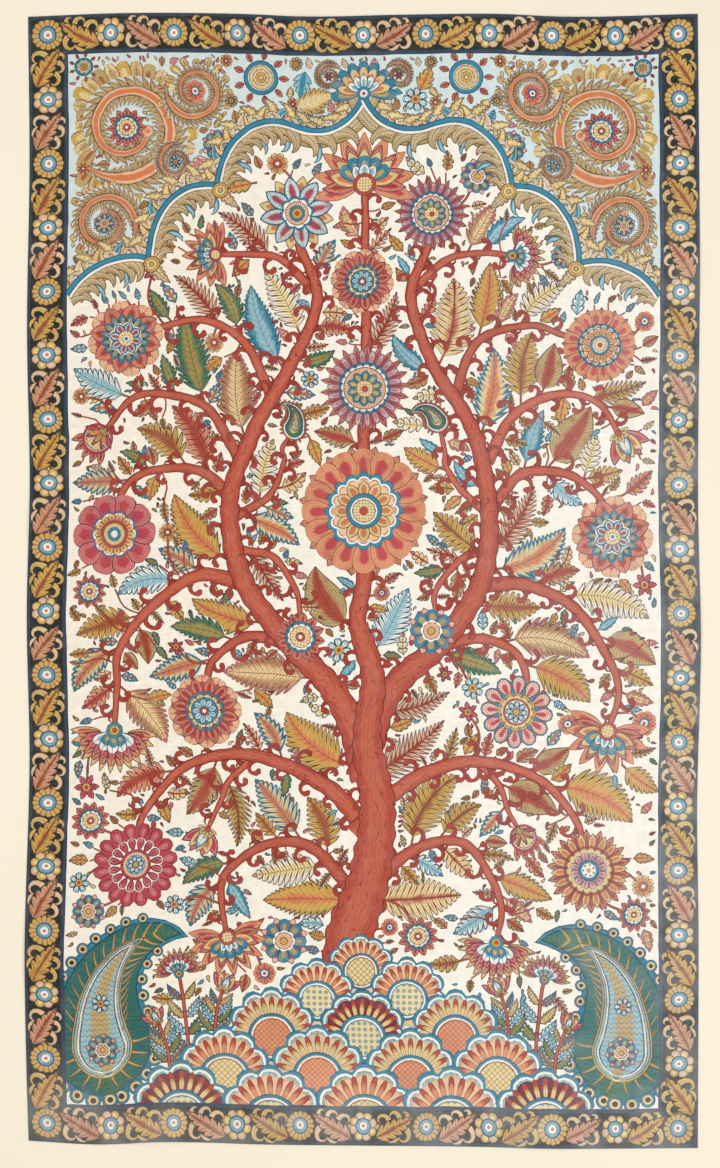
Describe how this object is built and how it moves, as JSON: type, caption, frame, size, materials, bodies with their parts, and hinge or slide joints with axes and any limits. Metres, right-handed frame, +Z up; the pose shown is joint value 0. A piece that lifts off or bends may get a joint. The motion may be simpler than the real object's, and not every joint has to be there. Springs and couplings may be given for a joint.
{
  "type": "kalamkari panel",
  "caption": "Flat cotton panel lying face up, with a hand-painted tree design, a cusped arch and a dark flowered border; laid out, used as a hanging or cover.",
  "frame": {"origin": "under the middle of the sheet, on the surface it lies on", "axes": "+Z up out of the painted face, +Y towards the top of the painting, +X to the right of the painting"},
  "size_m": [0.9212, 1.548, 0.0044],
  "materials": {
    "painted_cotton": "matt plain-weave cotton with hand-painted vegetable dyes"
  },
  "bodies": {
    "root": {"panel_cloth": "painted_cotton"}
  },
  "joints": []
}
